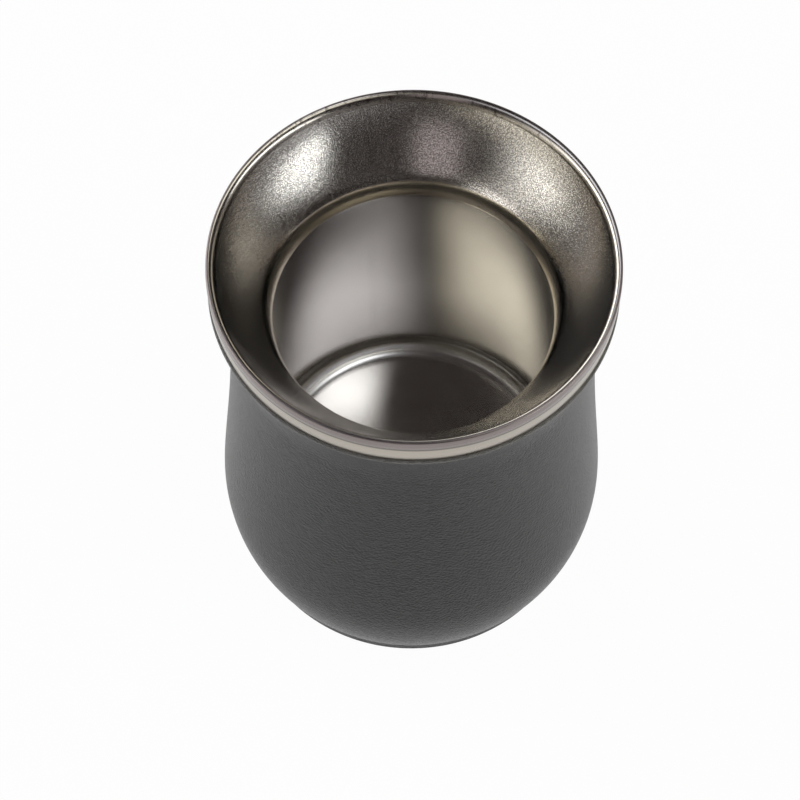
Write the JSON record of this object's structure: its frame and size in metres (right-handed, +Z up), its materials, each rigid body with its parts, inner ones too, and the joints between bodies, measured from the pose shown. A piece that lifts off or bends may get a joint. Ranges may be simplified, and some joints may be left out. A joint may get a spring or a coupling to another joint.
{
  "type": "mate cup",
  "caption": "Double-walled steel mate cup with a flared mouth, a narrow throat and a grey leather-look sleeve round its belly.",
  "frame": {"origin": "middle of the ring that the cup stands on, level with the table", "axes": "+Z up along the cup's axis, from the standing ring towards the lip; X and Y are free, the cup is round"},
  "size_m": [0.082, 0.082, 0.103],
  "materials": {
    "satin_steel": "satin",
    "pressed_steel": "smooth rolled",
    "brushed_steel": "fine brushed",
    "base_steel": "satin",
    "grey_leather": "matt grained"
  },
  "bodies": {
    "root": {"inner_wall": "satin_steel", "inner_floor": "pressed_steel", "outer_shell": "brushed_steel", "base_plate": "base_steel", "sleeve": "grey_leather"}
  },
  "joints": []
}
